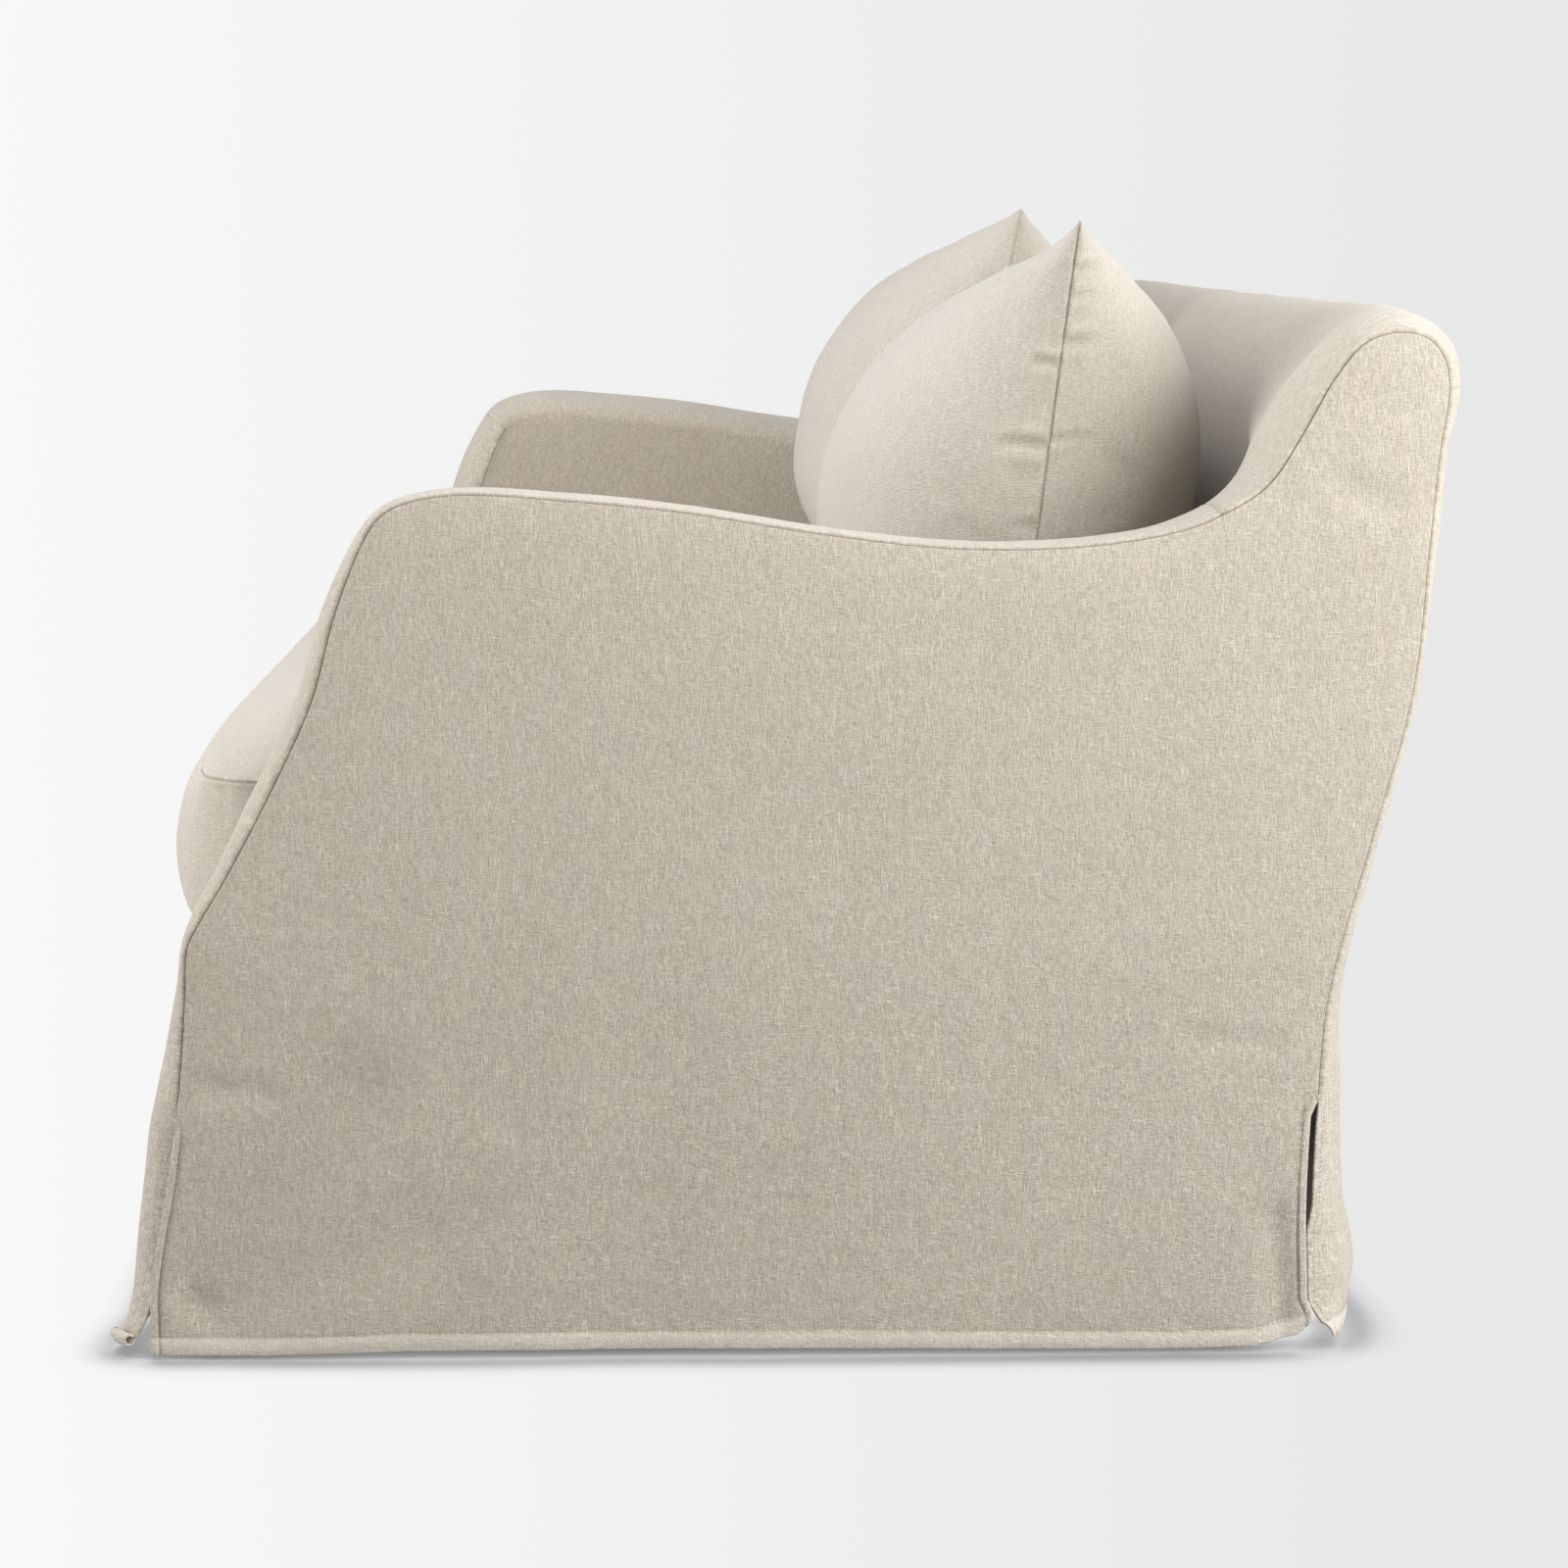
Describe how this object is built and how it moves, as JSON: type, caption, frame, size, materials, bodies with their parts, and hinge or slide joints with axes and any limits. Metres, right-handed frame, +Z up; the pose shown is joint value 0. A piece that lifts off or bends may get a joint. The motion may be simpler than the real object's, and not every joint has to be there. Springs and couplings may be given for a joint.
{
  "type": "sofa slipcover",
  "caption": "Fitted linen-look sofa slipcover with track arms, curved wings and open corner vents, with its covered bench seat and knife-edge back cushions",
  "frame": {"origin": "on the floor under the middle of the sofa that the cover fits", "axes": "+X along the sofa, +Y from its front to its back, +Z up"},
  "size_m": [1.84, 1.0861, 0.9264],
  "materials": {
    "body_cloth": "crinkled oatmeal linen weave, matte",
    "deck_cloth": "plain oatmeal linen weave, matte",
    "seat_cloth": "crinkled oatmeal linen weave, matte",
    "pillow_cloth": "crinkled oatmeal linen weave, matte"
  },
  "bodies": {
    "root": {"outside_arm_right": "body_cloth", "outside_arm_left": "body_cloth", "arm_front_right": "body_cloth", "arm_front_left": "body_cloth", "inside_arm_right": "body_cloth", "inside_arm_left": "body_cloth", "inside_back": "body_cloth", "outside_back": "body_cloth", "front_apron": "body_cloth", "deck": "deck_cloth", "seat_cushion": "seat_cloth", "back_cushion_right": "pillow_cloth", "back_cushion_left": "pillow_cloth"}
  },
  "joints": []
}
